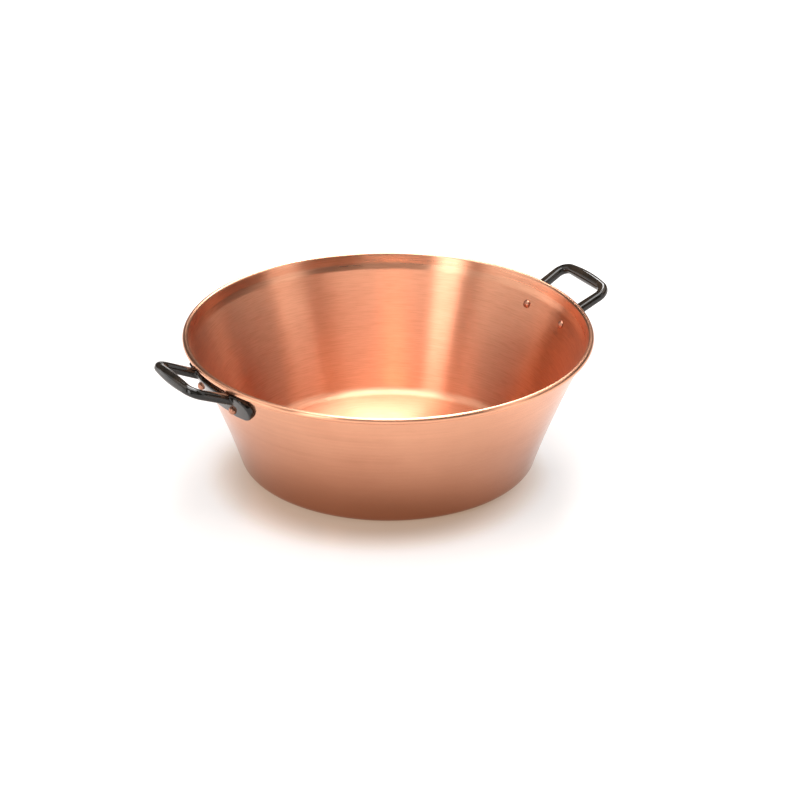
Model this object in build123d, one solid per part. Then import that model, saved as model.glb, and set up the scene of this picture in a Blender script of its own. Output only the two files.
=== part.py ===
from build123d import *
import math
import os

# Copper jam pan with two cast-iron handles. All lengths are millimetres.
# The pan stands on z = 0 with its axis on Z, and its handles lie along +X and -X.
# The wall's outside follows one arc in the r-z plane. Every piece that seats on the wall
# takes its place from that arc, at a stand-off from it or at a depth into the copper.

# Pan: one sheet of copper, spun to shape
rim_diameter = 400.0
pan_height = 137.0
copper_thickness = 1.2
wall_inset = 56.5  # from the rim's edge in to where the wall's arc would meet the table
wall_sag = 2.4  # how far the wall bows in from a straight line between its foot and its crease
base_corner_radius = 12.0
crease_inset = 7.0  # from the rim's edge in to the crease, where the wall turns up into the rim band
crease_drop = 10.3  # from the top of the rim down to the crease
crease_bend_radius = 14.0
hem_gap = 0.3  # between the end of the rolled edge and the rim band

# Steel wire that the rim is rolled over
wire_diameter = 3.2
wire_clearance = 0.15
wire_butt_gap = 0.8  # between the ends of the bent wire

# Cast handle: the strap that follows the wall, with a lobe at each end
strap_thickness = 5.2
strap_clearance = 0.15
strap_length = 113.6
web_width = 21.8
web_drop = 0.6  # of the web's centre line below the lobes' centre line
web_blend_radius = 9.0
lobe_swell = 3.6  # how far a lobe stands out above and below the web
lobe_straight = 11.9  # length of a lobe at its full width
lobe_gap = 1.2  # from the roll's underside down to the lobes, if the wall were upright
strap_edge_radius = 1.6

# Cast handle: the loop, made of two legs and a grip
leg_root_rise = 7.6  # of the legs' roots above the strap's centre line
leg_root_spacing = 67.0
leg_root_width = 10.8
leg_root_depth = 8.6
leg_edge_radius = 3.0
grip_overhang = 33.1  # from the rim's edge out to the ends of the grip's centre line
grip_rise = 3.2  # of the grip's centre line above the top of the rim
grip_spacing = 73.8  # between the legs' centre lines, where they meet the grip's
grip_bow = 1.9
grip_end_width = 10.0
grip_end_depth = 9.2
grip_end_edge_radius = 4.0
grip_middle_width = 11.9
grip_middle_depth = 11.1
grip_middle_edge_radius = 5.0
loop_corner_radius = 11.5

# Copper rivets, two to a handle
rivet_spacing = 61.0
rivet_drop = 3.6  # of the rivets below the strap's centre line
rivet_diameter = 5.0
rivet_hole_clearance = 0.1
rivet_seat_clearance = 0.1
outer_head_diameter = 8.4
outer_head_height = 3.9
inner_head_diameter = 8.4
inner_head_height = 2.4
head_edge_height = 0.6  # of the straight rim under each domed head

# One overrun serves every cut
overrun = 2.0

# Worked out from the sizes above: the pan
roll_bore_radius = wire_diameter / 2 + wire_clearance
roll_radius = roll_bore_radius + copper_thickness
roll_centre = Vector(rim_diameter / 2 - roll_radius, pan_height - roll_radius)
foot_point = Vector(rim_diameter / 2 - wall_inset, 0)
crease_point = Vector(rim_diameter / 2 - crease_inset, pan_height - crease_drop)

# Worked out from the sizes above: the handles and rivets
strap_face = strap_clearance + strap_thickness
lobe_width = web_width + 2 * lobe_swell
lobe_start = strap_length / 2 - lobe_width / 2 - lobe_straight
strap_height = pan_height - 2 * roll_radius - lobe_gap - lobe_width / 2
leg_root_height = strap_height + leg_root_rise
grip_reach = rim_diameter / 2 + grip_overhang
grip_height = pan_height + grip_rise
rivet_height = strap_height - rivet_drop


def wall_arc():
    """Centre and radius of the arc that the wall's outside follows, in the r-z plane."""
    chord = crease_point - foot_point
    radius = (chord.length**2 / 4 + wall_sag**2) / (2 * wall_sag)
    outward = Vector(chord.Y, -chord.X).normalized()
    centre = (foot_point + crease_point) * 0.5 + outward * (radius - wall_sag)
    return centre, radius


def wall_point(height, stand_off=0):
    """Point in the r-z plane at a height on the wall's outside, or on a face that stands off from it."""
    centre, radius = wall_arc()
    across = math.sqrt((radius - stand_off) ** 2 - (height - centre.Y) ** 2)
    return Vector(centre.X - across, height)


def wall_plane(height, angle):
    """Plane on the wall's outside at a height and an angle about Z: x runs round the pan, z points out."""
    centre, radius = wall_arc()
    point = wall_point(height)
    normal = (centre - point).normalized()
    plane = Plane(origin=(point.X, 0, point.Y), x_dir=(0, 1, 0), z_dir=(normal.X, 0, normal.Y))
    return Plane(Rotation(0, 0, angle) * plane.location)


def band_direction():
    """Direction of the rim band in the r-z plane: up from the crease, along the inner side of the roll's bore."""
    reach = roll_centre - crease_point
    angle = math.atan2(reach.Y, reach.X) + math.asin(roll_bore_radius / reach.length)
    return Vector(math.cos(angle), math.sin(angle))


def band_end(depth):
    """Where the rim band meets the roll, at a depth into the copper."""
    direction = band_direction()
    inward = Vector(-direction.Y, direction.X)
    return roll_centre + inward * (roll_bore_radius + depth)


def band_start(depth):
    """Where the rim band crosses the wall's arc, at a depth into the copper."""
    centre, radius = wall_arc()
    reach = band_end(depth) - centre
    along = reach.dot(band_direction())
    back = along - math.sqrt(along**2 - reach.length**2 + (radius + depth) ** 2)
    return band_end(depth) - band_direction() * back


def sheet_line(depth):
    """Line through the copper at a depth under its outer face, from the axis out to the end of the roll."""
    foot = wall_point(depth, -depth)
    crease = band_start(depth)
    wall_middle = wall_point((foot.Y + crease.Y) / 2, -depth)
    roll_start = band_end(depth) - roll_centre
    start_angle = math.degrees(math.atan2(roll_start.Y, roll_start.X))
    hem_angle = math.degrees(math.acos((roll_bore_radius - hem_gap) / roll_radius))
    with BuildLine() as line:
        Line((0, depth), foot)
        ThreePointArc(foot, wall_middle, crease)
        Line(crease, band_end(depth))
        CenterArc(roll_centre, roll_bore_radius + depth, start_angle, hem_angle - 360)
        fillet(line.vertices().sort_by_distance(foot)[0], base_corner_radius - depth)
        fillet(line.vertices().sort_by_distance(crease)[0], crease_bend_radius - depth)
    return line.line


def pan_body():
    """The spun sheet: flat base, rounded corner, bowed wall, rim band and the roll closed round the wire."""
    outside = sheet_line(0)
    inside = sheet_line(copper_thickness)
    with BuildSketch() as section:
        with BuildLine():
            add(outside)
            add(inside)
            Line(outside @ 0, inside @ 0)
            Line(outside @ 1, inside @ 1)
        make_face()
    return revolve(Plane.XZ * section.sketch, Axis.Z)


def rim_wire():
    """The bent steel wire, with the small gap where its ends meet, in the roll over the right handle."""
    ring_radius = roll_centre.X
    gap_angle = math.degrees(wire_butt_gap / ring_radius)
    section = Plane.XZ * Pos(roll_centre.X, roll_centre.Y) * Circle(wire_diameter / 2)
    return revolve(section, Axis.Z, 360 - gap_angle)


def wall_core():
    """Everything inside the strap's back face, used to trim the legs where they run into the wall."""
    top = wall_point(pan_height, strap_clearance)
    bottom = wall_point(0, strap_clearance)
    middle = wall_point(pan_height / 2, strap_clearance)
    with BuildSketch() as section:
        with BuildLine():
            Line((0, 0), bottom)
            ThreePointArc(bottom, middle, top)
            Line(top, (0, top.Y))
            Line((0, top.Y), (0, 0))
        make_face()
    return revolve(Plane.XZ * section.sketch, Axis.Z)


def strap_outline():
    """The strap as seen square to the wall: a straight web between two round-ended lobes."""
    lobe_middle = lobe_start + lobe_straight / 2
    with BuildSketch() as outline:
        with Locations((-lobe_middle, 0), (lobe_middle, 0)):
            SlotCenterToCenter(lobe_straight, lobe_width)
        with Locations((0, -web_drop)):
            Rectangle(lobe_start * 2, web_width)
        four_notches = outline.vertices().sort_by_distance((0, 0))[:4]
        fillet(four_notches, web_blend_radius)
    return outline.sketch


def strap():
    """A band that follows the wall, cut to the strap's outline, with its front edges rounded."""
    reach = lobe_width / 2 + overrun
    heights = (strap_height - reach, strap_height, strap_height + reach)
    back = [wall_point(height, strap_clearance) for height in heights]
    front = [wall_point(height, strap_face) for height in heights]
    with BuildSketch() as section:
        with BuildLine():
            ThreePointArc(*back)
            ThreePointArc(*front)
            Line(back[0], front[0])
            Line(back[2], front[2])
        make_face()
    band = revolve(Plane.XZ * section.sketch, Axis.Z)
    band &= extrude(wall_plane(strap_height, 0) * strap_outline(), strap_length / 2, both=True)
    front_face = band.faces().sort_by(SortBy.AREA)[-1]
    return fillet(front_face.edges(), strap_edge_radius)


def loop_plane():
    """Plane of the loop's centre line: x rises outwards from between the legs' roots, y runs across."""
    face = wall_point(leg_root_height, strap_face)
    root_reach = math.sqrt(face.X**2 - (leg_root_spacing / 2) ** 2)
    root = Vector(root_reach, 0, leg_root_height)
    rise = Vector(grip_reach, 0, grip_height) - root
    return Plane(origin=root, x_dir=rise, z_dir=rise.cross(Vector(0, 1, 0))), rise.length


def loop_line():
    """Centre line of the loop: leg, corner, bowed grip, corner and leg, as edges in that order."""
    plane, length = loop_plane()
    ends = [Vector(length, side * grip_spacing / 2) for side in (1, -1)]
    roots = [Vector(0, side * leg_root_spacing / 2) for side in (1, -1)]
    inner = [root - (end - root).normalized() * strap_face * 2 for root, end in zip(roots, ends)]
    with BuildLine() as line:
        Line(inner[0], ends[0])
        ThreePointArc(ends[0], (length + grip_bow, 0), ends[1])
        Line(ends[1], inner[1])
        for end in ends:
            fillet(line.vertices().sort_by_distance(end)[0], loop_corner_radius)
    return [plane * edge for edge in line.wire().order_edges()]


def loop_section(edge, share, depth, width, edge_radius):
    """Rounded section of the loop, square to its centre line at a share of an edge's length."""
    plane, _ = loop_plane()
    square = Plane(origin=edge @ share, x_dir=plane.z_dir, z_dir=edge % share)
    return square * RectangleRounded(depth, width, edge_radius)


def loop():
    """Two tapered legs, two bent corners and the grip, which swells towards its middle."""
    first_leg, first_corner, grip, last_corner, last_leg = loop_line()
    root = (leg_root_depth, leg_root_width, leg_edge_radius)
    end = (grip_end_depth, grip_end_width, grip_end_edge_radius)
    middle = (grip_middle_depth, grip_middle_width, grip_middle_edge_radius)
    swell = [loop_section(grip, 0, *end), loop_section(grip, 0.5, *middle), loop_section(grip, 1, *end)]
    whole = sweep(swell, grip, multisection=True)
    whole += sweep(loop_section(first_corner, 0, *end), first_corner)
    whole += sweep(loop_section(last_corner, 0, *end), last_corner)
    whole += loft([loop_section(first_leg, 0, *root), loop_section(first_leg, 1, *end)])
    whole += loft([loop_section(last_leg, 0, *end), loop_section(last_leg, 1, *root)])
    return whole


def handle():
    """The casting on the +X side: the drilled strap and the loop in one, with the legs trimmed to the wall."""
    drilled = strap()
    for angle in rivet_angles().values():
        drilled -= wall_plane(rivet_height, angle) * rivet_hole()
    return drilled + (loop() - wall_core())


def rivet_angles():
    """Angle about Z of the rivets on the +X side, by the end of the handle that they hold."""
    half_angle = math.degrees(math.asin(rivet_spacing / 2 / wall_point(rivet_height).X))
    return {"back": half_angle, "front": -half_angle}


def rivet_hole():
    """Cutter for a rivet's hole, along Z from inside the pan to outside the strap."""
    length = copper_thickness + strap_face + 2 * overrun
    below = Pos(0, 0, -copper_thickness - overrun)
    seat = (Align.CENTER, Align.CENTER, Align.MIN)
    return below * Cylinder(rivet_diameter / 2 + rivet_hole_clearance, length, align=seat)


def rivet_head(diameter, height):
    """Head with a short straight edge and a domed top, standing on z = 0."""
    radius = diameter / 2
    dome_height = height - head_edge_height
    dome_radius = (radius**2 + dome_height**2) / (2 * dome_height)
    edge_angle = math.degrees(math.acos(radius / dome_radius))
    with BuildSketch() as section:
        with BuildLine():
            Polyline((0, height), (0, 0), (radius, 0), (radius, head_edge_height))
            CenterArc((0, height - dome_radius), dome_radius, edge_angle, 90 - edge_angle)
        make_face()
    return revolve(Plane.XZ * section.sketch, Axis.Z)


def rivet():
    """A set rivet along Z, with z = 0 on the wall's outside: inner head, shank and outer head."""
    inner_seat = -copper_thickness - rivet_seat_clearance
    outer_seat = strap_face + rivet_seat_clearance
    seat = (Align.CENTER, Align.CENTER, Align.MIN)
    shank = Pos(0, 0, inner_seat) * Cylinder(rivet_diameter / 2, outer_seat - inner_seat, align=seat)
    outer_head = Pos(0, 0, outer_seat) * rivet_head(outer_head_diameter, outer_head_height)
    inner_head = Pos(0, 0, inner_seat) * Rotation(180, 0, 0) * rivet_head(inner_head_diameter, inner_head_height)
    return inner_head + shank + outer_head


def build_nodes():
    """Every piece by its node's name. The left side is the right side turned half way round the pan."""
    nodes = {"rim_wire": rim_wire()}
    casting = handle()
    body = pan_body()
    half_turn = Rotation(0, 0, 180)
    nodes["handle_right"] = casting
    nodes["handle_left"] = half_turn * casting
    for end, angle in rivet_angles().items():
        plane = wall_plane(rivet_height, angle)
        opposite_end = "front" if end == "back" else "back"
        nodes["rivet_right_" + end] = plane * rivet()
        nodes["rivet_left_" + opposite_end] = half_turn * (plane * rivet())
        body -= plane * rivet_hole()
        body -= half_turn * (plane * rivet_hole())
    nodes["pan_body"] = body
    return nodes


os.makedirs("parts", exist_ok=True)
for name, solid in build_nodes().items():
    export_step(solid, "parts/" + name + ".step")
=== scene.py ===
import math

import bpy
import numpy as np
from bpy.props import FloatProperty, FloatVectorProperty, IntProperty, PointerProperty
from bpy.types import Operator, Panel, PropertyGroup
from mathutils import Matrix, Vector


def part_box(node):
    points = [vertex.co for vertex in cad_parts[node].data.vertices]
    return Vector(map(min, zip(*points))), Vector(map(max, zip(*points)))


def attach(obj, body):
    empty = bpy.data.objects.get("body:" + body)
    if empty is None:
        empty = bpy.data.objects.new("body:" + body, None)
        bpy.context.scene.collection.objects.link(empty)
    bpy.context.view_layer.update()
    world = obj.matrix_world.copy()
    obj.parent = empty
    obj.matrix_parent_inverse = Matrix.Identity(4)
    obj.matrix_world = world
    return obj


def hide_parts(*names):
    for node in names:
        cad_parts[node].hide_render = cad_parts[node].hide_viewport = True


bl_info = {
    "name": "Copper Jam Pan",
    "version": (1, 0, 0),
    "blender": (4, 5, 0),
    "location": "3D View > Sidebar > Jam Pan",
    "description": "Spins a copper jam pan, casts and rivets its handles and sets it in a plain studio",
    "category": "Object",
}

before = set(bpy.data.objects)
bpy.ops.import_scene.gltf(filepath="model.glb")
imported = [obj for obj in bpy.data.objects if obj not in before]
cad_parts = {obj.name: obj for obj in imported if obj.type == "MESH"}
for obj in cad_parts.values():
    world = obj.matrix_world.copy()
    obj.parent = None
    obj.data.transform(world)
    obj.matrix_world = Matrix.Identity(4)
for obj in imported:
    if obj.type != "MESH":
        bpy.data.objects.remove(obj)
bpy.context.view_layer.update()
pan_low, pan_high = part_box("pan_body")

FULL_TURN = 2 * math.pi
LEAST_LENGTH = 1e-12  # below which a vector counts as having none
BRUSH_MAP = "turn_and_run"  # the UV map: share of a turn, and metres along the section


def length(name, default, description):
    """A size in metres, shown in the scene's own unit."""
    return FloatProperty(name=name, description=description, default=default, min=0, precision=5,
                         unit="LENGTH")


def rounded(name, default, description):
    """Width, depth and edge radius of a rounded section, in metres."""
    return FloatVectorProperty(name=name, description=description + ": width, depth and edge radius",
                               default=default, min=0, precision=5, unit="LENGTH")


def direction(name, default, description):
    """An angle, kept in radians."""
    return FloatProperty(name=name, description=description, default=default, subtype="ANGLE")


def share(name, default, description):
    """A plain number from none to all."""
    return FloatProperty(name=name, description=description, default=default, min=0, max=1, subtype="FACTOR")


def colour(name, default, description):
    """A colour in linear values."""
    return FloatVectorProperty(name=name, description=description, default=default, min=0, max=1,
                               subtype="COLOR")


class PanSizes(PropertyGroup):
    rim_diameter: length("Rim diameter", pan_high.x - pan_low.x, "Width over the rolled rim")
    height: length("Height", pan_high.z - pan_low.z, "From the table to the top of the rolled rim")
    sheet: length("Sheet", 0.0012, "Thickness of the copper")
    wall_inset: length("Wall inset", 0.0565, "From the rim's edge in to the foot of the wall's arc")
    wall_sag: length("Wall sag", 0.0024, "How far the wall bows in from a straight line")
    base_corner: length("Base corner", 0.012, "Outside radius between the base and the wall")
    crease_inset: length("Crease inset", 0.007, "From the rim's edge in to the crease under the rim")
    crease_drop: length("Crease drop", 0.0103, "From the top of the rim down to the crease")
    crease_bend: length("Crease bend", 0.014, "Outside radius of the crease")
    wire_bore: length("Wire bore", 0.00175, "Radius of the roll's bore, round the wire")
    hem_gap: length("Hem gap", 0.0003, "Between the end of the rolled edge and the rim band")
    wave: length("Wave", 0.00007, "How far the spun wall wanders from a true round")
    dish: length("Dish", 0.00025, "Depth that the sheet is set down round each rivet")
    dish_radius: length("Dish radius", 0.0055, "Reach of the dish round a rivet")
    turn_steps: IntProperty(name="Turn steps", description="Faces round the pan", default=320, min=32)


class HandleSizes(PropertyGroup):
    clearance: length("Clearance", 0.00015, "Between the strap and the wall")
    strap_thickness: length("Strap thickness", 0.0052, "Thickness of the strap that follows the wall")
    strap_length: length("Strap length", 0.1136, "From end to end of the lobes")
    strap_drop: length("Strap drop", 0.0216, "From the rim's top to the lobes' centre line")
    web_width: length("Web width", 0.0218, "Height of the strap between the lobes")
    web_drop: length("Web drop", 0.0006, "Of the web's centre line below the lobes' centre line")
    web_blend: length("Web blend", 0.009, "Radius between the web and a lobe")
    lobe_width: length("Lobe width", 0.029, "Height of a lobe")
    lobe_straight: length("Lobe straight", 0.0119, "Length of a lobe at its full width")
    strap_edge: length("Strap edge", 0.0016, "Radius of the strap's front edges")
    root_rise: length("Root rise", 0.0076, "Of the legs' roots above the strap's centre line")
    root_spacing: length("Root spacing", 0.067, "Between the legs' roots")
    root_section: rounded("Root section", (0.0108, 0.0086, 0.003), "A leg at its root")
    grip_overhang: length("Grip overhang", 0.0331, "From the rim's edge out to the ends of the grip")
    grip_rise: length("Grip rise", 0.0032, "Of the grip's centre line above the top of the rim")
    grip_spacing: length("Grip spacing", 0.0738, "Between the legs where they meet the grip")
    grip_bow: length("Grip bow", 0.0019, "How far the grip bows outward")
    end_section: rounded("End section", (0.010, 0.0092, 0.004), "The loop where a leg meets the grip")
    middle_section: rounded("Middle section", (0.0119, 0.0111, 0.005), "The grip at its middle")
    corner: length("Corner", 0.0115, "Bend radius between a leg and the grip")
    voxel: length("Skin step", 0.00055, "Grain of the skin that closes the casting into one solid")


class RivetSizes(PropertyGroup):
    spacing: length("Spacing", 0.061, "Between a handle's two rivets")
    drop: length("Drop", 0.0036, "Of the rivets below the strap's centre line")
    shank: length("Shank", 0.005, "Diameter of the shank")
    seat_gap: length("Seat gap", 0.0001, "Between a head and what it seats on")
    outer_head: length("Outer head", 0.0084, "Diameter of the outer head")
    outer_height: length("Outer height", 0.0039, "Height of the outer head")
    inner_head: length("Inner head", 0.0084, "Diameter of the inner head")
    inner_height: length("Inner height", 0.0024, "Height of the inner head")
    head_edge: length("Head edge", 0.0006, "Height of the straight rim under a dome")


class Finishes(PropertyGroup):
    copper: colour("Copper", (0.93, 0.465, 0.285), "Bright spun copper")
    tarnish: colour("Tarnish", (0.74, 0.31, 0.18), "Copper where it has dulled")
    # Painted shade: this browner copper darkens the outside towards the foot, where the wall mirrors the
    # shadowed floor; on the rivets it is their own browner tone in patches
    browned_and_shaded: colour("Browned", (0.38, 0.165, 0.105), "Browner copper, low outside and on the rivets")
    rivet: colour("Rivet copper", (0.50, 0.24, 0.16), "Copper of the set rivets")
    iron: colour("Blackened iron", (0.012, 0.010, 0.008), "Cast iron under its black finish")
    brown_iron: colour("Brown iron", (0.036, 0.024, 0.016), "Cast iron where its black finish is thin")
    steel: colour("Steel wire", (0.55, 0.56, 0.58), "Drawn steel of the rim wire")
    dark_steel: colour("Dark steel", (0.385, 0.392, 0.406), "The wire's steel in its scratches")
    inside_roughness: share("Inside roughness", 0.34, "Roughness of the copper inside the pan")
    outside_roughness: share("Outside roughness", 0.14, "Roughness of the smoother copper outside")
    bead_smoothing: share("Bead smoothing", 0.05, "How much smoother the rolled bead is than the outside")
    band_smoothing: share("Band smoothing", 0.05, "How much smoother the rim band is than the inside")
    brushing: share("Brushing", 1.0, "How much the copper's highlights spread across its brush lines")
    band_polish: share("Band polish", 0.3, "How much less the highlights spread on the rim band")
    bead_run: length("Bead run", 0.018, "From the hem back to the end of the bead's polish")
    blend_run: length("Blend run", 0.003, "Length over which a polish comes in")
    # Painted shade on the outside, darkest by the foot and least under the rim, where the wall mirrors the
    # shadowed floor
    foot_shade_start: length("Brown start", 0.14, "Along the section to where the browning is fullest")
    foot_shade_stop: length("Brown stop", 0.03, "Before the hem, where the browning is least")
    foot_shade_low: share("Brown low", 0.9, "Share of browned copper outside by the foot")
    foot_shade_high: share("Brown high", 0.25, "Share of browned copper outside under the rim")
    dulling: share("Dulling", 0.35, "Share of tarnish in the cloudy dull places")
    dull_roughness: share("Dull roughness", 0.08, "Roughness that a dull place adds")
    outside_tarnish: share("Outside tarnish", 0.3, "How much of the fine lines' tarnish is outside")


class StudioSetup(PropertyGroup):
    floor: colour("Floor", (0.47, 0.44, 0.42), "Pale studio floor")
    floor_roughness: share("Floor roughness", 0.28, "Roughness of the floor's faint gloss")
    floor_width: length("Floor width", 12.0, "Side of the square floor")
    floor_lift: share("Floor lift", 0.62, "Glow of the open floor round the pan")
    far_lift: share("Far lift", 1.0, "Glow that brings the far floor to white")
    far_start: length("Far start", 0.5, "Reach at which the open floor begins to glow more")
    far_end: length("Far end", 2.5, "Reach of the far floor's full glow")
    shade_lift: share("Shade lift", 0.52, "Share of the open floor's glow that is left under the pan")
    warm: colour("Warm shade", (1.0, 0.72, 0.5), "Colour of the glow under the pan, lent by the copper")
    shade_start: length("Shade start", 0.12, "Reach of the full shade")
    shade_end: length("Shade end", 0.172, "Reach at which the shade gives way to the open floor")
    shade_aside: length("Shade aside", 0.01, "Of the shade's middle, to the camera's left")
    shade_ahead: length("Shade ahead", 0.035, "Of the shade's middle, towards the camera")
    room: colour("Room", (0.05, 0.05, 0.05), "Light that comes from the room on all sides")
    camera_azimuth: direction("Camera azimuth", math.radians(-31.04), "Round the pan")
    camera_elevation: direction("Camera elevation", 0.467997, "Above the table")
    camera_distance: length("Camera distance", 2.6846, "From the pan's foot")
    camera_yaw: direction("Camera yaw", 0.005064, "Aim to the right")
    camera_pitch: direction("Camera pitch", 0.4476691, "Aim down")
    camera_roll: direction("Camera roll", 0.0038757, "Tilt of the frame")
    lens: FloatProperty(name="Lens", description="Focal length in millimetres", default=121.5)


class JamPanSettings(PropertyGroup):
    pan: PointerProperty(name="Pan", description="Sizes of the copper pan", type=PanSizes)
    handle: PointerProperty(name="Handle", description="Sizes of the cast handles", type=HandleSizes)
    rivet: PointerProperty(name="Rivet", description="Sizes of the rivets", type=RivetSizes)
    finish: PointerProperty(name="Finishes", description="Colours and polish of the metals", type=Finishes)
    studio: PointerProperty(name="Studio", description="Floor, light and camera", type=StudioSetup)


# The pan's section, in (radius, height)


def wall_circle(pan):
    """Centre and radius of the arc that the wall's outside follows: through the foot and the crease,
    bowed in by the sag, so its centre lies outside the pan."""
    foot = np.array((pan.rim_diameter / 2 - pan.wall_inset, 0.0))
    crease = np.array((pan.rim_diameter / 2 - pan.crease_inset, pan.height - pan.crease_drop))
    chord = crease - foot
    span = np.hypot(*chord)
    radius = (span**2 / 4 + pan.wall_sag**2) / (2 * pan.wall_sag)
    outward = quarter_turn(chord) / span
    return (foot + crease) / 2 + outward * (radius - pan.wall_sag), radius


def wall_point(pan, height, stand_off):
    """Point of the arc that stands off the wall's outside, at a height."""
    centre, radius = wall_circle(pan)
    across = math.sqrt((radius - stand_off) ** 2 - (height - centre[1]) ** 2)
    return np.array((centre[0] - across, height))


def wall_facing(pan, height):
    """Point of the wall's outside at a height, and the way that the wall faces there: from the point
    to the arc's centre."""
    centre, _ = wall_circle(pan)
    point = wall_point(pan, height, 0)
    return point, unit(centre - point)


def wall_stand_off(pan, points):
    """How far points in space stand off the wall's outside: the arc's radius less their distance
    from its centre, in the plane through the pan's axis."""
    centre, radius = wall_circle(pan)
    reach = np.hypot(points[..., 0], points[..., 1])
    return radius - np.hypot(reach - centre[0], points[..., 2] - centre[1])


def arc(centre, radius, start, end, count):
    """Points on a circle: its centre plus its radius times the cosine and sine of even angles."""
    angle = np.linspace(start, end, count)
    return np.column_stack((centre[0] + radius * np.cos(angle), centre[1] + radius * np.sin(angle)))


def between(start, end, count):
    """Points at even steps on a straight line."""
    start, end = np.array(start), np.array(end)
    return start + (end - start) * np.linspace(0, 1, count)[:, None]


def unit(vectors):
    """Vectors of the same directions, each one long. One without a length stays so."""
    return vectors / np.maximum(np.linalg.norm(vectors, axis=-1, keepdims=True), LEAST_LENGTH)


def quarter_turn(vectors):
    """Flat vectors turned a quarter turn clockwise."""
    return np.stack((vectors[..., 1], -vectors[..., 0]), -1)


def bearing(vector):
    """Angle of a flat vector."""
    return math.atan2(vector[1], vector[0])


# Points on the base, base corner, wall, crease, rim band and roll
OUTER_COUNTS = (8, 9, 46, 7, 3, 22)
INNER_COUNTS = (26, 14, 72, 9, 4, 44)


def sheet_line(pan, depth, counts):
    """One face of the sheet from the base's centre to the end of the roll. The faces are the same line
    at two depths: base, corner, wall arc, crease, rim band and roll, all tangent to each other."""
    centre, radius = wall_circle(pan)
    roll_radius = pan.wire_bore + pan.sheet
    roll_centre = np.array((pan.rim_diameter / 2 - roll_radius, pan.height - roll_radius))
    crease = np.array((pan.rim_diameter / 2 - pan.crease_inset, pan.height - pan.crease_drop))
    reach = roll_centre - crease
    lean = bearing(reach) + math.asin(pan.wire_bore / np.hypot(*reach))
    up_band = np.array((math.cos(lean), math.sin(lean)))
    inward = -quarter_turn(up_band)
    corner_reach = math.sqrt((radius + pan.base_corner) ** 2 - (pan.base_corner - centre[1]) ** 2)
    corner = np.array((centre[0] - corner_reach, pan.base_corner))
    corner_end = centre + (corner - centre) * (radius + depth) / (radius + pan.base_corner)
    bend_line = roll_centre + inward * (pan.wire_bore + pan.crease_bend) - centre
    along = bend_line @ up_band
    back = along - math.sqrt(along**2 - bend_line @ bend_line + (radius + pan.crease_bend) ** 2)
    bend = centre + bend_line - up_band * back
    bend_start = centre + (bend - centre) * (radius + depth) / (radius + pan.crease_bend)
    bend_radius = pan.crease_bend - depth
    roll_start = roll_centre + inward * (pan.wire_bore + depth)
    hem = math.acos((pan.wire_bore - pan.hem_gap) / roll_radius)
    base_count, corner_count, wall_count, crease_count, band_count, roll_count = counts
    return np.vstack((
        between((0.0, depth), (corner[0], depth), base_count)[:-1],
        arc(corner, pan.base_corner - depth, -math.pi / 2, bearing(corner_end - corner), corner_count)[:-1],
        arc(centre, radius + depth, bearing(corner_end - centre) % FULL_TURN,
            bearing(bend_start - centre) % FULL_TURN, wall_count)[:-1],
        arc(bend, bend_radius, bearing(bend_start - bend), bearing(-inward), crease_count)[:-1],
        between(bend - inward * bend_radius, roll_start, band_count)[:-1],
        arc(roll_centre, pan.wire_bore + depth, bearing(inward), bearing(inward) + hem - FULL_TURN,
            roll_count),
    ))


def section_run(section):
    """Length along a section line up to each of its points."""
    return np.concatenate(([0], np.cumsum(np.hypot(*np.diff(section, axis=0).T))))


# Meshes from grids of points


def corner_pairs(turns, runs):
    """The UV pairs of faces, from the share of a turn and the run of each face's corners."""
    return np.stack(np.broadcast_arrays(turns, runs), -1).reshape(-1, 2)


def lay_brush_map(mesh, run, columns):
    """Lays the brush map on a mesh of rings between two poles: the share of a turn, and the run of each
    ring. A pole's own corner takes the middle of its face's turn."""
    turn = np.arange(columns) / columns
    next_turn = turn + 1 / columns
    middle = turn + 0.5 / columns
    low, high = run[1:-2, None], run[2:-1, None]
    quads = corner_pairs(np.stack((turn, next_turn, next_turn, turn), -1)[None],
                         np.stack((low, low, high, high), -1))
    first = corner_pairs(np.stack((middle, next_turn, turn), -1), np.array((run[0], run[1], run[1])))
    last = corner_pairs(np.stack((turn, next_turn, middle), -1), np.array((run[-2], run[-2], run[-1])))
    layer = mesh.uv_layers.new(name=BRUSH_MAP)
    layer.data.foreach_set("uv", np.vstack((quads, first, last)).astype(np.float32).ravel())


def grid_mesh(name, points, first_pole=None, last_pole=None):
    """Closed mesh from rings of points, rows by columns: each row joins up with itself and with the
    next row. A pole closes each end, or without one a ladder of faces across the end ring does."""
    rows, columns = points.shape[:2]
    here = np.arange(columns)
    after = (here + 1) % columns
    row = np.arange(rows - 1)[:, None] * columns
    quads = np.stack((row + here, row + after, row + columns + after, row + columns + here), -1)
    last = (rows - 1) * columns
    vertices = points.reshape(-1, 3)
    if first_pole is None:
        step = np.arange(columns // 2)
        ladder = np.column_stack((step, -step % columns, (-step - 1) % columns, step + 1))
        first_end, last_end = ladder[:, ::-1], last + ladder
    else:
        vertices = np.vstack((vertices, first_pole, last_pole))
        first_end = np.column_stack((np.full(columns, rows * columns), after, here))
        last_end = np.column_stack((last + here, last + after, np.full(columns, rows * columns + 1)))
    mesh = bpy.data.meshes.new(name)
    mesh.from_pydata(vertices, [], quads.reshape(-1, 4).tolist() + first_end.tolist() + last_end.tolist())
    mesh.shade_smooth()
    return mesh


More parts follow.
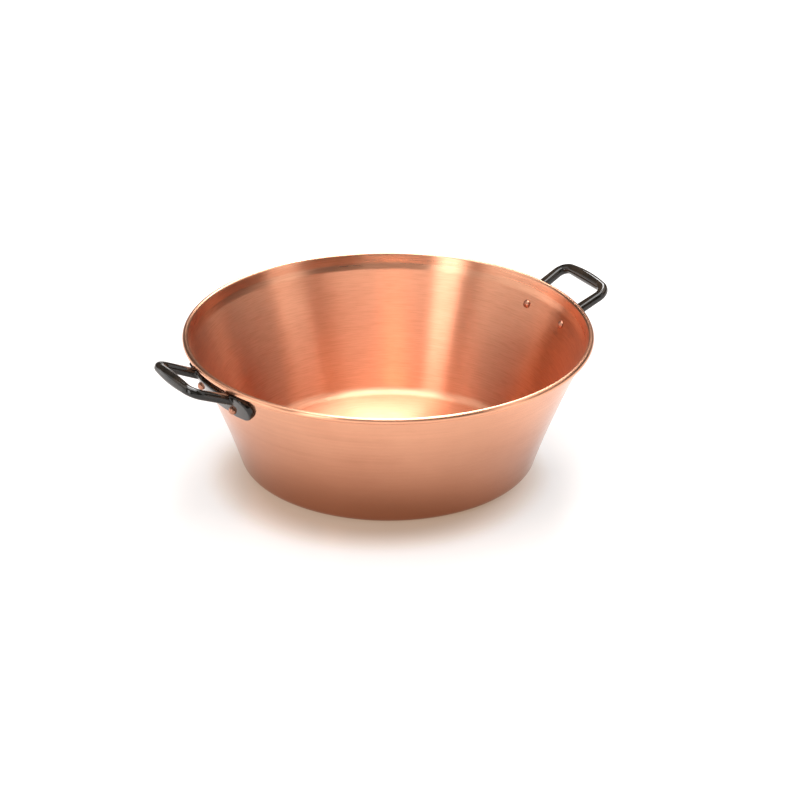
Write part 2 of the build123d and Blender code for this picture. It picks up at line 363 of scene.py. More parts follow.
def spin(name, section, steps, drift):
    """Surface of revolution: each section point goes round the axis, its radius times the cosine and
    sine of the turn. Drift moves a point along the section's normal, which is a quarter turn clockwise
    from its direction."""
    angle = np.arange(steps) * FULL_TURN / steps
    normals = quarter_turn(unit(np.gradient(section, axis=0)))
    rings = section[1:-1, None, :] + normals[1:-1, None, :] * drift[1:-1, :, None]
    points = np.stack((rings[..., 0] * np.cos(angle), rings[..., 0] * np.sin(angle), rings[..., 1]), -1)
    mesh = grid_mesh(name, points, (0, 0, section[0, 1]), (0, 0, section[-1, 1]))
    lay_brush_map(mesh, section_run(section), steps)
    return mesh


def add_object(name, data):
    """A new object in the scene."""
    added = bpy.data.objects.new(name, data)
    bpy.context.scene.collection.objects.link(added)
    return added


def place(name, mesh, material, slot, *nodes):
    """Puts a finished mesh in the scene in place of its plain nodes."""
    piece = add_object(name, mesh)
    piece.data.materials.append(material)
    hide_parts(*nodes)
    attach(piece, "root")
    return piece


# The pan


WALL_WAVES = (
    # share, waves a turn, twist up the wall, start
    (1.0, 3, 9, 0.0),
    (0.7, 7, -14, 1.3),
    (0.5, 11, 23, 4.1),
)
WAVE_FADE = 0.6  # power of the waves' fade to nothing at the base and the crease


def rivet_height(pan, handle, rivet):
    """Height of the rivets on the wall."""
    return pan.height - handle.strap_drop - rivet.drop


def rivet_turns(pan, handle, rivet):
    """Angle of each rivet round the pan, from the handle's middle."""
    reach = wall_point(pan, rivet_height(pan, handle, rivet), 0)[0]
    half = math.asin(rivet.spacing / 2 / reach)
    return {"back": half, "front": -half}


def pan_mesh(pan, handle, rivet):
    """The spun sheet: its outer and inner faces as one closed section, turned about the axis. The wall
    wanders by a few long sine waves that fade out at the base and the crease, and its inside sinks in a
    bell shape round each rivet."""
    outer = sheet_line(pan, 0.0, OUTER_COUNTS)
    inner = sheet_line(pan, pan.sheet, INNER_COUNTS)[::-1]
    section = np.vstack((outer, inner))
    angle = np.arange(pan.turn_steps) * FULL_TURN / pan.turn_steps
    height = section[:, 1:2]
    rise = np.clip((height - pan.base_corner) / (pan.height - pan.base_corner - pan.crease_drop), 0, 1)
    fade = (4 * rise * (1 - rise)) ** WAVE_FADE
    waves = sum(part * np.sin(count * angle + twist * rise + start)
                for part, count, twist, start in WALL_WAVES)
    waves = waves / sum(part for part, *_ in WALL_WAVES)
    outward = np.where(np.arange(len(section)) < len(outer), 1.0, -1.0)[:, None]
    drift = outward * pan.wave * fade * waves
    rivets_at = rivet_height(pan, handle, rivet)
    own_turns = rivet_turns(pan, handle, rivet).values()
    turns = np.array([turn + side for turn in own_turns for side in (0, math.pi)])
    apart = np.abs((angle[:, None] - turns + math.pi) % FULL_TURN - math.pi)
    across = apart * wall_point(pan, rivets_at, 0)[0]
    distance = np.hypot(across[None], (height - rivets_at)[:, :, None])
    dish = np.exp(-((distance / pan.dish_radius) ** 2)).sum(-1) * pan.dish
    drift = drift - np.where(outward < 0, dish, 0)
    return spin("pan", section, pan.turn_steps, drift)


class JAMPAN_OT_pan(Operator):
    """Spins the copper pan with its rolled rim"""
    bl_idname = "jam_pan.make_pan"
    bl_label = "Make Pan"

    def execute(self, context):
        settings = context.scene.jam_pan
        mesh = pan_mesh(settings.pan, settings.handle, settings.rivet)
        place("pan", mesh, spun_copper(settings.finish, settings.pan), "copper", "pan_body")
        return {"FINISHED"}


# The handles


OUTLINE_POINTS = 480  # round the strap's outline, at even steps
SIDE_POINTS = 20  # on each line and small arc of half the outline, before it is stepped off
LOBE_POINTS = 80  # on the round end of its lobe
EDGE_RINGS, ROLL_RINGS = 4, 7  # up the strap's edge, and over its rounded front
INSET_SHARES = (0.2, 0.4, 0.6, 0.8, 1.0)  # of the way from the strap's outline to its middle line
SEATING_STEPS = 12  # by which a point has settled on the wall
LEG_POINTS, BEND_POINTS, GRIP_POINTS = 14, 14, 49  # along each stretch of the loop
LOOP_SIDES = 64  # round the loop's section


def strap_outline(handle):
    """The strap seen square to the wall: two round-ended lobes, a narrower web between them and a blend
    radius in each notch. Half the outline is laid out from tangent arcs, then mirrored and stepped off
    evenly."""
    lobe = handle.lobe_width / 2
    far = handle.strap_length / 2 - lobe
    near = far - handle.lobe_straight
    blend = handle.web_blend

    def notch(side):
        edge = -handle.web_drop + side * handle.web_width / 2
        rise = abs(edge) + blend
        middle = np.array((near - math.sqrt((lobe + blend) ** 2 - rise**2), side * rise))
        touch = np.array((near, 0.0)) + (middle - (near, 0.0)) * lobe / (lobe + blend)
        return edge, middle, touch

    top, top_middle, top_touch = notch(1)
    bottom, bottom_middle, bottom_touch = notch(-1)
    quarter = math.pi / 2
    top_turn, bottom_turn = bearing(top_touch - (near, 0)), bearing(bottom_touch - (near, 0))
    half = np.vstack((
        between((0.0, top), (top_middle[0], top), SIDE_POINTS),
        arc(top_middle, blend, -quarter, bearing(top_touch - top_middle), SIDE_POINTS),
        arc((near, 0), lobe, top_turn, quarter, SIDE_POINTS),
        arc((far, 0), lobe, quarter, -quarter, LOBE_POINTS),
        arc((near, 0), lobe, -quarter, bottom_turn, SIDE_POINTS),
        arc(bottom_middle, blend, bearing(bottom_touch - bottom_middle), quarter, SIDE_POINTS),
        between((bottom_middle[0], bottom), (0.0, bottom), SIDE_POINTS),
    ))
    outline = np.vstack((half, half[::-1] * (-1, 1)))
    run = section_run(outline)
    even = np.linspace(0, run[-1], OUTLINE_POINTS, endpoint=False)
    outline = np.column_stack((np.interp(even, run, outline[:, 0]), np.interp(even, run, outline[:, 1])))
    return np.roll(outline, -np.argmax(outline[:, 0]), axis=0)


def seat_on_wall(pan, points, along, stand_off):
    """Slides each point along a direction until it stands off the wall as wanted, by repeated steps."""
    for _ in range(SEATING_STEPS):
        points = points + (stand_off - wall_stand_off(pan, points))[..., None] * along
    return points


def strap_rings(pan, handle):
    """The strap: rings of its outline, seated on the wall at rising stand-offs, rolled over the front
    edge on a quarter circle and drawn in to the middle line of each face."""
    origin, normal = wall_facing(pan, pan.height - handle.strap_drop)
    outward = np.array((normal[0], 0, normal[1]))
    across = np.array((0, 1, 0))
    upward = np.cross(outward, across)
    outline = strap_outline(handle)
    inward = quarter_turn(unit(np.roll(outline, -1, 0) - np.roll(outline, 1, 0)))
    back = handle.clearance
    face = back + handle.strap_thickness
    edge = handle.strap_edge
    front = outline + inward * edge
    middle_reach = handle.strap_length / 2 - handle.lobe_width / 2
    middle = np.column_stack((np.clip(outline[:, 0], -middle_reach, middle_reach), np.zeros(len(outline))))
    rings = [(middle * part + outline * (1 - part), back) for part in INSET_SHARES[::-1]]
    rings += [(outline, level) for level in np.linspace(back, face - edge, EDGE_RINGS)]
    rings += [(outline + inward * edge * (1 - math.cos(turn)), face - edge + edge * math.sin(turn))
              for turn in np.linspace(0, math.pi / 2, ROLL_RINGS)]
    rings += [(middle * part + front * (1 - part), face) for part in INSET_SHARES]
    flat = np.array([ring for ring, _ in rings])
    level = np.array([level for _, level in rings])[:, None]
    points = np.array((origin[0], 0, origin[1])) + flat[..., :1] * across + flat[..., 1:] * upward
    points = seat_on_wall(pan, points, outward, level)
    return points[:, ::-1]


def loop_plane(pan, handle):
    """Plane of the loop's centre line: the point between the legs' roots, the way from it out to the
    grip, the way across, and the distance out to the grip's ends."""
    height = pan.height - handle.strap_drop + handle.root_rise
    face = wall_point(pan, height, handle.clearance + handle.strap_thickness)
    root_reach = math.sqrt(face[0] ** 2 - (handle.root_spacing / 2) ** 2)
    root = np.array((root_reach, 0, height))
    tip = np.array((pan.rim_diameter / 2 + handle.grip_overhang, 0, pan.height + handle.grip_rise))
    return root, unit(tip - root), np.array((0, 1, 0)), np.linalg.norm(tip - root)


def loop_path(handle, reach):
    """Centre line of the loop in its own plane, out and across: a straight leg, a round corner tangent
    to the leg and the grip, the grip as a wide arc, and the other corner and leg mirrored."""
    half_chord = handle.grip_spacing / 2
    start = np.array((0, handle.root_spacing / 2))
    end = np.array((reach, half_chord))
    grip_radius = (half_chord**2 + handle.grip_bow**2) / (2 * handle.grip_bow)
    grip_centre = np.array((reach + handle.grip_bow - grip_radius, 0))
    leg_way = unit(end - start)
    leg_side = quarter_turn(leg_way)
    inner_line = start + leg_side * handle.corner - grip_centre
    inner_reach = grip_radius - handle.corner
    along = inner_line @ leg_way
    step = -along + math.sqrt(along**2 - inner_line @ inner_line + inner_reach**2)
    corner = grip_centre + inner_line + leg_way * step
    leg_end = corner - leg_side * handle.corner
    grip_start = grip_centre + (corner - grip_centre) * grip_radius / inner_reach
    leg = between(start, leg_end, LEG_POINTS)
    bend = arc(corner, handle.corner, bearing(leg_end - corner), bearing(grip_start - corner), BEND_POINTS)
    first = bearing(grip_start - grip_centre)
    grip = arc(grip_centre, grip_radius, first, -first, GRIP_POINTS)
    half = np.vstack((leg[:-1], bend[:-1]))
    return np.vstack((half, grip, half[::-1] * (1, -1)))


def rounded_section(width, depth, edge, count):
    """Rounded rectangles, one per size: a circle of the edge radius, whose quarters are moved out to the
    four corners."""
    angle = (np.arange(count) + 0.5) * FULL_TURN / count
    cosine, sine = np.cos(angle), np.sin(angle)
    side = np.sign(cosine) * (width / 2 - edge)[:, None] + edge[:, None] * cosine
    rise = np.sign(sine) * (depth / 2 - edge)[:, None] + edge[:, None] * sine
    return side, rise


def loop_rings(pan, handle):
    """The loop: a rounded section carried square to the centre line. It is fullest at the grip's middle
    and swells along the grip as a parabola, and the legs start inside the strap."""
    root, forward, across, reach = loop_plane(pan, handle)
    path = loop_path(handle, reach)
    past_leg = np.ones(2 * (BEND_POINTS - 1) + GRIP_POINTS)
    leg_share = np.concatenate((
        np.linspace(0, 1, LEG_POINTS)[:-1], past_leg, np.linspace(1, 0, LEG_POINTS)[1:]))
    off_grip = np.zeros(LEG_POINTS + BEND_POINTS - 2)
    swell = np.concatenate((off_grip, 1 - np.linspace(-1, 1, GRIP_POINTS) ** 2, off_grip))
    at_root, at_end, at_middle = np.array((handle.root_section, handle.end_section, handle.middle_section))
    sizes = at_root + (at_end - at_root) * leg_share[:, None] + (at_middle - at_end) * swell[:, None]
    side, rise = rounded_section(*sizes.T, LOOP_SIDES)
    way = unit(np.gradient(path, axis=0))
    normal = np.cross(forward, across)
    space = root + path[:, :1] * forward + path[:, 1:] * across
    sideways = -way[:, 1:] * forward + way[:, :1] * across
    points = space[:, None] + side[..., None] * sideways[:, None] + rise[..., None] * normal
    inside = handle.clearance + handle.strap_thickness / 2
    for end, inner in ((0, 1), (-1, -2)):
        points[end] = seat_on_wall(pan, points[end], unit(space[inner] - space[end]), inside)
    return points


def casting(name, shells, turn, handle):
    """One solid from overlapping closed shells: a fine skin is drawn over them all and smoothed a little,
    as sand casting rounds its corners. The turn is about the pan's axis."""
    raw = bpy.data.meshes.new(name + "_raw")
    vertices, faces = [], []
    for points in shells:
        closed = grid_mesh(name + "_shell", points)
        corners = np.empty(len(closed.vertices) * 3)
        closed.vertices.foreach_get("co", corners)
        start = sum(len(earlier) for earlier in vertices)
        vertices.append(corners.reshape(-1, 3))
        faces += [[start + index for index in face.vertices] for face in closed.polygons]
        bpy.data.meshes.remove(closed)
    raw.from_pydata(np.vstack(vertices), [], faces)
    blank = add_object(name + "_blank", raw)
    skin = blank.modifiers.new("Skin", "REMESH")
    skin.mode = "VOXEL"
    skin.voxel_size = handle.voxel
    skin.use_smooth_shade = True
    soften = blank.modifiers.new("Soften", "SMOOTH")
    soften.factor = 0.5
    soften.iterations = 3
    mesh = bpy.data.meshes.new_from_object(blank.evaluated_get(bpy.context.evaluated_depsgraph_get()))
    bpy.data.objects.remove(blank)
    mesh.name = name
    mesh.transform(Matrix.Rotation(turn, 4, "Z"))
    return mesh


class JAMPAN_OT_handles(Operator):
    """Casts the two iron handles"""
    bl_idname = "jam_pan.cast_handles"
    bl_label = "Cast Handles"

    def execute(self, context):
        settings = context.scene.jam_pan
        shells = (strap_rings(settings.pan, settings.handle), loop_rings(settings.pan, settings.handle))
        iron = blackened_iron(settings.finish)
        for side, turn in (("right", 0), ("left", math.pi)):
            mesh = casting("cast_handle_" + side, shells, turn, settings.handle)
            place("cast_handle_" + side, mesh, iron, "black_iron", "handle_" + side)
        return {"FINISHED"}


# The rivets


RIVET_SIDES = 48  # round a rivet
DOME_POINTS = 12  # from a head's top down to its edge
TWO_WAVES, THREE_WAVES = 0.5, 0.3  # shares of a rivet's two and three waves a turn
FIRST_SEED = 4  # of the chance that each rivet has for itself
SHARPEST = math.radians(50)  # angle past which two faces of a rivet meet in a sharp edge


def head_section(radius, height, edge):
    """Half section of a domed head, from its top's middle down to its seat: an arc and a straight rim."""
    dome = height - edge
    dome_radius = (radius**2 + dome**2) / (2 * dome)
    low = math.acos(radius / dome_radius)
    dome_arc = arc((0, height - dome_radius), dome_radius, math.pi / 2, low, DOME_POINTS)
    return np.vstack((dome_arc, ((radius, 0),)))


def rivet_mesh(name, pan, handle, rivet, turn, seed):
    """A set rivet: outer head, shank and inner head in one section, turned about the rivet's own axis.
    Hammering leaves it a little out of round, by two and three waves a turn."""
    face = handle.clearance + handle.strap_thickness + rivet.seat_gap
    inner_seat = -pan.sheet - rivet.seat_gap
    outer = head_section(rivet.outer_head / 2, rivet.outer_height, rivet.head_edge) + (0, face)
    inner = head_section(rivet.inner_head / 2, rivet.inner_height, rivet.head_edge) * (1, -1)
    shank = np.array(((rivet.shank / 2, inner_seat), (rivet.shank / 2, face)))
    section = np.vstack((inner + (0, inner_seat), shank, outer[::-1]))
    angle = np.arange(RIVET_SIDES) * FULL_TURN / RIVET_SIDES
    start, next_start = np.random.default_rng(seed).uniform(0, FULL_TURN, 2)
    waves = TWO_WAVES * np.sin(2 * angle + start) + THREE_WAVES * np.sin(3 * angle + next_start)
    reach = section[:, :1] / (rivet.outer_head / 2)
    drift = reach**2 * (waves - TWO_WAVES - THREE_WAVES) * rivet.seat_gap
    mesh = spin(name, section, RIVET_SIDES, drift)
    origin, normal = wall_facing(pan, rivet_height(pan, handle, rivet))
    lean = math.atan2(normal[0], normal[1])
    seat = Matrix.Translation((origin[0], 0, origin[1])) @ Matrix.Rotation(lean, 4, "Y")
    mesh.transform(Matrix.Rotation(turn, 4, "Z") @ seat)
    mesh.set_sharp_from_angle(angle=SHARPEST)
    return mesh


class JAMPAN_OT_rivets(Operator):
    """Sets the four copper rivets"""
    bl_idname = "jam_pan.set_rivets"
    bl_label = "Set Rivets"

    def execute(self, context):
        settings = context.scene.jam_pan
        metal = rivet_copper(settings.finish)
        turns = rivet_turns(settings.pan, settings.handle, settings.rivet)
        places = (
            ("right_back", turns["back"]),
            ("right_front", turns["front"]),
            ("left_back", turns["front"] + math.pi),
            ("left_front", turns["back"] + math.pi),
        )
        for seed, (where, turn) in enumerate(places, start=FIRST_SEED):
            name = "set_rivet_" + where
            mesh = rivet_mesh(name, settings.pan, settings.handle, settings.rivet, turn, seed)
            place(name, mesh, metal, "rivet_copper", "rivet_" + where)
        return {"FINISHED"}


class JAMPAN_OT_wire(Operator):
    """Gives the rim wire its drawn steel finish"""
    bl_idname = "jam_pan.finish_wire"
    bl_label = "Finish Rim Wire"

    def execute(self, context):
        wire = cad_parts["rim_wire"]
        wire.data.materials.clear()
        wire.data.materials.append(drawn_steel(context.scene.jam_pan.finish))
        return {"FINISHED"}


# Finishes


def add_node(tree, kind, inputs, **settings):
    """Adds a shader node. An input given as a socket is joined, and any other is set."""
    node = tree.nodes.new("ShaderNode" + kind)
    for name, value in settings.items():
        setattr(node, name, value)
    for name, value in inputs.items():
        if isinstance(value, bpy.types.NodeSocket):
            tree.links.new(value, node.inputs[name])
        else:
            node.inputs[name].default_value = value
    return node


def new_material(name):
    """An empty material and its node tree."""
    material = bpy.data.materials.new(name)
    material.use_nodes = True
    material.node_tree.nodes.clear()
    return material, material.node_tree


def noise(tree, where, scale, detail=3, roughness=0.5):
    """Soft noise at a scale, from none to one."""
    inputs = {"Vector": where, "Scale": scale, "Detail": detail, "Roughness": roughness}
    return add_node(tree, "TexNoise", inputs).outputs["Fac"]


def spread(tree, value, span, onto, **settings):
    """Carries a value from one span onto another, and holds it at the ends."""
    inputs = {"Value": value, "From Min": span[0], "From Max": span[1], "To Min": onto[0], "To Max": onto[1]}
    return add_node(tree, "MapRange", inputs, **settings).outputs["Result"]


def math_node(tree, operation, first, second):
    """One operation on two numbers."""
    return add_node(tree, "Math", {0: first, 1: second}, operation=operation).outputs[0]


def plus(tree, first, second):
    """Adds two numbers."""
    return math_node(tree, "ADD", first, second)


def less(tree, first, second):
    """Takes the second number from the first."""
    return math_node(tree, "SUBTRACT", first, second)


def times(tree, first, second):
    """Multiplies two numbers."""
    return math_node(tree, "MULTIPLY", first, second)


def mix_colour(tree, factor, first, second):
    """Mixes two colours, each a socket or three values."""
    node = tree.nodes.new("ShaderNodeMix")
    node.data_type = "RGBA"
    tree.links.new(factor, node.inputs[0])
    for socket, value in ((node.inputs[6], first), (node.inputs[7], second)):
        if isinstance(value, bpy.types.NodeSocket):
            tree.links.new(value, socket)
        else:
            socket.default_value = (*value, 1)
    return node.outputs[2]


def object_place(tree):
    """A point's place on its own piece."""
    return add_node(tree, "TexCoord", {}).outputs["Object"]


def section_place(tree):
    """A point's run along the section that its piece was spun from."""
    brush = add_node(tree, "UVMap", {}, uv_map=BRUSH_MAP).outputs[0]
    return add_node(tree, "SeparateXYZ", {0: brush}).outputs["Y"]


def bumped(tree, height, depth):
    """Normals of a surface that a height from none to one raises by up to a depth."""
    return add_node(tree, "Bump", {"Height": height, "Strength": 1.0, "Distance": depth}).outputs[0]


def finished(material, tree, values):
    """Ends a material with a surface of these values."""
    shader = add_node(tree, "BsdfPrincipled", values)
    add_node(tree, "OutputMaterial", {"Surface": shader.outputs[0]})
    return material


def turned_lines(tree, across, along):
    """Noise drawn out round the pan: quick along the section and slow round the turn, as brush lines
    are."""
    flat = add_node(tree, "Mapping", {"Vector": object_place(tree), "Scale": (along, along, 0)}).outputs[0]
    lift = add_node(tree, "CombineXYZ", {"Z": times(tree, section_place(tree), across)}).outputs[0]
    lines = add_node(tree, "VectorMath", {0: flat, 1: lift}, operation="ADD").outputs[0]
    return noise(tree, lines, scale=1)


def copper_zones(tree, finish, pan):
    """Parts of the pan by their run along its section, each from none to one: its inside, the polished
    bead, the rim band down to its crease, and the painted shade on the outside, darkest by the foot."""
    outer_end = section_run(sheet_line(pan, 0.0, OUTER_COUNTS))[-1]
    rim_line = sheet_line(pan, pan.sheet, INNER_COUNTS)[-sum(INNER_COUNTS[-3:]):]
    band_end = outer_end + pan.sheet + section_run(rim_line)[-1]
    bead_start = outer_end - finish.bead_run
    run = section_place(tree)
    inside = math_node(tree, "GREATER_THAN", run, outer_end)
    outside = less(tree, 1, inside)
    bead = spread(tree, run, (bead_start, bead_start + finish.blend_run), (0, 1))
    band = spread(tree, run, (band_end, band_end + finish.blend_run), (1, 0))
    # Painted shade: the outside darkens towards the foot, where it mirrors the shadowed floor
    browned_and_shaded = spread(tree, run, (finish.foot_shade_start, outer_end - finish.foot_shade_stop),
                     (finish.foot_shade_low, finish.foot_shade_high))
    return inside, times(tree, bead, outside), times(tree, band, inside), times(tree, browned_and_shaded, outside)


def spun_copper(finish, pan):
    """Copper spun on a lathe and brushed round: fine and broad lines round the turn, a few cloudy dull
    places, and highlights that spread across the lines. The outside is smoother than the inside and
    darker towards the foot with painted shade, and the bead is smoothest."""
    material, tree = new_material("spun copper")
    fine = turned_lines(tree, across=1500, along=60)
    middle = turned_lines(tree, across=420, along=6)
    broad = turned_lines(tree, across=70, along=3)
    inside, bead, band, browned_and_shaded = copper_zones(tree, finish, pan)
    clouds = noise(tree, object_place(tree), scale=14, detail=5, roughness=0.6)
    dulled = times(tree, spread(tree, clouds, (0.45, 0.75), (0, 1)),
                   spread(tree, broad, (0.3, 0.7), (0.3, 1)))

    grained = times(tree, spread(tree, fine, (0.4, 0.7), (0, 0.5)),
                    spread(tree, inside, (0, 1), (finish.outside_tarnish, 1)))
    lines = plus(tree, grained, spread(tree, middle, (0.35, 0.75), (0, 0.15)))
    tarnished = plus(tree, times(tree, dulled, finish.dulling), lines)
    bright = mix_colour(tree, tarnished, finish.copper, finish.tarnish)

    worn = spread(tree, inside, (0, 1), (finish.outside_roughness, finish.inside_roughness))
    worn = less(tree, worn, times(tree, bead, finish.bead_smoothing))
    worn = less(tree, worn, times(tree, band, finish.band_smoothing))
    streaks = spread(tree, middle, (0.3, 0.7), (-0.025, 0.025))
    rough = plus(tree, plus(tree, worn, streaks), times(tree, dulled, finish.dull_roughness))

    polished = plus(tree, bead, times(tree, band, finish.band_polish))
    return finished(material, tree, {
        # Painted shade: the outside's copper turns browner towards the foot
        "Base Color": mix_colour(tree, browned_and_shaded, bright, finish.browned_and_shaded),
        "Roughness": rough,
        "Metallic": 1.0,
        "Normal": bumped(tree, plus(tree, times(tree, fine, 0.5), middle), depth=0.000008),
        "Tangent": add_node(tree, "Tangent", {}, direction_type="UV_MAP", uv_map=BRUSH_MAP).outputs[0],
        "Anisotropic": times(tree, less(tree, 1, polished), finish.brushing),
        "Anisotropic Rotation": 0.25,
    })


def rivet_copper(finish):
    """Copper of the set rivets: satin, dulled in small patches, with shallow tool marks."""
    material, tree = new_material("rivet copper")
    where = object_place(tree)
    patches = spread(tree, noise(tree, where, scale=320), (0.4, 0.7), (0, 0.6))
    marks = noise(tree, where, scale=900, detail=2)
    return finished(material, tree, {
        "Base Color": mix_colour(tree, patches, finish.rivet, finish.browned_and_shaded),
        "Roughness": spread(tree, marks, (0.3, 0.7), (0.3, 0.45)),
        "Metallic": 1.0,
        "Normal": bumped(tree, marks, depth=0.00004),
    })


def blackened_iron(finish):
    """Cast iron under a thin black finish: the grain of the sand mould, browner patches and a gloss."""
    material, tree = new_material("blackened cast iron")
    where = object_place(tree)
    grain = noise(tree, where, scale=900, detail=4, roughness=0.6)
    lumps = times(tree, noise(tree, where, scale=220), 1.5)
    patches = spread(tree, noise(tree, where, scale=60, detail=4), (0.4, 0.7), (0, 1))
    return finished(material, tree, {
        "Base Color": mix_colour(tree, patches, finish.iron, finish.brown_iron),
        "Roughness": spread(tree, grain, (0.3, 0.7), (0.08, 0.15)),
        "Normal": bumped(tree, plus(tree, grain, lumps), depth=0.00002),
    })


def drawn_steel(finish):
    """Steel wire as drawn: a bright skin with faint long scratches."""
    material, tree = new_material("drawn steel wire")
    drawn_out = add_node(tree, "Mapping", {"Vector": object_place(tree), "Scale": (60, 60, 2600)}).outputs[0]
    scratches = noise(tree, drawn_out, scale=1)
    dark = spread(tree, scratches, (0.35, 0.7), (0, 1))
    return finished(material, tree, {
        "Base Color": mix_colour(tree, dark, finish.steel, finish.dark_steel),
        "Roughness": spread(tree, scratches, (0.3, 0.7), (0.25, 0.4)),
        "Metallic": 1.0,
    })


# The studio


def studio_floor(studio):
    """Pale floor with a faint gloss, and a glow that only the eye, mirrors and clear things see. By reach
    from the shade's middle it is weak and warm under the pan, stronger on the open floor, and far out it
    makes up the white."""
    material, tree = new_material("studio floor")
    path = add_node(tree, "LightPath", {})
    seen = math_node(tree, "MAXIMUM", path.outputs["Is Camera Ray"], path.outputs["Is Glossy Ray"])
    seen = math_node(tree, "MAXIMUM", seen, path.outputs["Is Transmission Ray"])
    turn = studio.camera_azimuth
    to_left = np.array((-math.cos(turn), -math.sin(turn), 0))
    to_camera = np.array((math.sin(turn), -math.cos(turn), 0))
    middle = tuple(studio.shade_aside * to_left + studio.shade_ahead * to_camera)
    away = add_node(tree, "VectorMath", {0: object_place(tree), 1: middle}, operation="DISTANCE")
    reach = away.outputs["Value"]
    shade = (studio.shade_start, studio.shade_end)
    near = spread(tree, reach, shade, (studio.shade_lift * studio.floor_lift, studio.floor_lift),
                  interpolation_type="SMOOTHSTEP")
    far = spread(tree, reach, (studio.far_start, studio.far_end), (0, studio.far_lift - studio.floor_lift))
    tint = mix_colour(tree, spread(tree, reach, shade, (0, 1)), studio.warm, (1, 1, 1))
    glow = add_node(tree, "Emission", {"Color": tint, "Strength": times(tree, seen, plus(tree, near, far))})
    surface = add_node(tree, "BsdfPrincipled", {
        "Base Color": (*studio.floor, 1), "Roughness": studio.floor_roughness})
    both = add_node(tree, "AddShader", {0: surface.outputs[0], 1: glow.outputs[0]})
    add_node(tree, "OutputMaterial", {"Surface": both.outputs[0]})
    return material


def around(studio, azimuth, elevation, distance):
    """Place in the room, from an azimuth in degrees off the camera's own, an elevation and a distance."""
    turn = studio.camera_azimuth + math.radians(azimuth)
    rise = math.radians(elevation)
    return np.array((
        distance * math.sin(turn) * math.cos(rise),
        -distance * math.cos(turn) * math.cos(rise),
        distance * math.sin(rise),
    ))


def add_lamp(studio, name, azimuth, elevation, distance, width, height, glow):
    """A soft panel of light that faces the pan. Its power is its glow times its area times pi."""
    light = bpy.data.lights.new(name, "AREA")
    light.shape = "RECTANGLE"
    light.size = width
    light.size_y = height
    light.energy = glow * width * height * math.pi
    lamp = add_object(name, light)
    lamp.location = around(studio, azimuth, elevation, distance)
    turn = studio.camera_azimuth + math.radians(azimuth)
    lamp.rotation_euler = (math.pi / 2 - math.radians(elevation), 0, turn)


LAMPS = (
    # name, azimuth off the camera's, elevation, distance, width, height, glow
    ("overhead panel", 0, 90, 2.0, 1.45, 1.45, 5.8),
    ("back panel", 171, 50, 2.4, 0.9, 1.2, 11.5),
    ("high left panel", -98, 54, 2.4, 1.7, 1.1, 1.2),
    ("high right panel", 105, 48, 2.4, 1.7, 1.2, 1.2),
    ("left panel", -90, 8, 2.4, 2.9, 0.66, 1.6),
    ("upper left panel", -88, 28, 2.4, 2.6, 1.1, 0.7),
    ("left strip", -38.5, 22, 2.4, 0.62, 1.6, 3.9),
    ("front card", -2, 16, 3.0, 2.0, 1.8, 0.42),
    ("right card", 66, 22, 2.4, 0.86, 1.5, 1.15),
)
PICTURE_WIDTH = 800  # pixels


def add_camera(studio):
    """The camera: set back from the pan's foot, then turned by its own yaw, pitch and roll. The half-pixel
    shift puts a pixel's middle where the fitted camera numbers have it."""
    camera = add_object("camera", bpy.data.cameras.new("camera"))
    camera.data.lens = studio.lens
    camera.data.sensor_width = 36
    camera.data.shift_x = -0.5 / PICTURE_WIDTH
    camera.data.shift_y = 0.5 / PICTURE_WIDTH
    camera.data.clip_end = 30
    place_at = around(studio, 0, math.degrees(studio.camera_elevation), studio.camera_distance)
    camera.matrix_world = (
        Matrix.Translation(place_at)
        @ Matrix.Rotation(studio.camera_azimuth - studio.camera_yaw, 4, "Z")
        @ Matrix.Rotation(math.pi / 2 - studio.camera_pitch, 4, "X")
        @ Matrix.Rotation(studio.camera_roll, 4, "Z")
    )
    bpy.context.scene.camera = camera


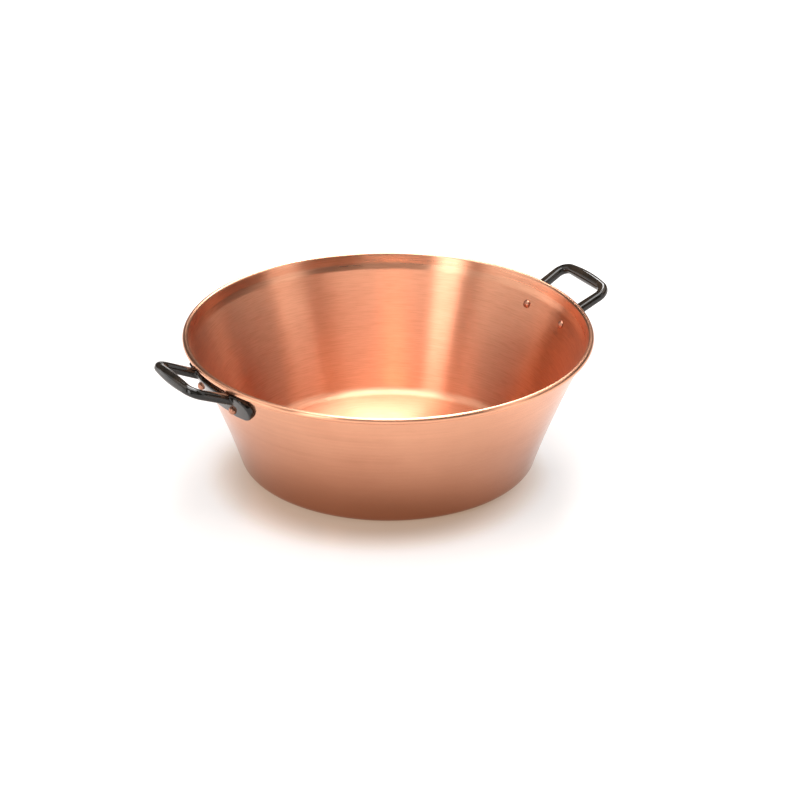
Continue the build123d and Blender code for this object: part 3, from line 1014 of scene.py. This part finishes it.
class JAMPAN_OT_studio(Operator):
    """Lays the floor and places the lamps, the room's light and the camera"""
    bl_idname = "jam_pan.set_studio"
    bl_label = "Set Studio"

    def execute(self, context):
        studio = context.scene.jam_pan.studio
        half = studio.floor_width / 2
        corners = ((-half, -half, 0), (half, -half, 0), (half, half, 0), (-half, half, 0))
        mesh = bpy.data.meshes.new("floor")
        mesh.from_pydata(corners, [], [(0, 1, 2, 3)])
        mesh.materials.append(studio_floor(studio))
        floor = add_object("floor", mesh)
        for lamp in LAMPS:
            add_lamp(studio, *lamp)
        world = bpy.data.worlds.new("room")
        world.use_nodes = True
        world.node_tree.nodes["Background"].inputs["Color"].default_value = (*studio.room, 1)
        context.scene.world = world
        context.scene.view_settings.view_transform = "Standard"
        add_camera(studio)
        return {"FINISHED"}


class JAMPAN_PT_panel(Panel):
    """Lists the pan's operators and its settings"""
    bl_label = "Jam Pan"
    bl_idname = "JAMPAN_PT_panel"
    bl_space_type = "VIEW_3D"
    bl_region_type = "UI"
    bl_category = "Jam Pan"

    def draw(self, context):
        layout = self.layout
        for operator in OPERATORS:
            layout.operator(operator.bl_idname)
        for group in ("pan", "handle", "rivet", "finish", "studio"):
            settings = getattr(context.scene.jam_pan, group)
            box = layout.box()
            box.label(text=group.capitalize())
            for name in settings.__annotations__:
                box.prop(settings, name)


OPERATORS = (JAMPAN_OT_pan, JAMPAN_OT_handles, JAMPAN_OT_rivets, JAMPAN_OT_wire, JAMPAN_OT_studio)
GROUPS = (PanSizes, HandleSizes, RivetSizes, Finishes, StudioSetup, JamPanSettings)


def register():
    for kind in GROUPS + OPERATORS + (JAMPAN_PT_panel,):
        bpy.utils.register_class(kind)
    bpy.types.Scene.jam_pan = PointerProperty(type=JamPanSettings)


def unregister():
    del bpy.types.Scene.jam_pan
    for kind in reversed(GROUPS + OPERATORS + (JAMPAN_PT_panel,)):
        bpy.utils.unregister_class(kind)


def main():
    """Makes every piece and the studio."""
    register()
    bpy.ops.jam_pan.make_pan()
    bpy.ops.jam_pan.cast_handles()
    bpy.ops.jam_pan.set_rivets()
    bpy.ops.jam_pan.finish_wire()
    bpy.ops.jam_pan.set_studio()


if __name__ == "__main__":
    main()
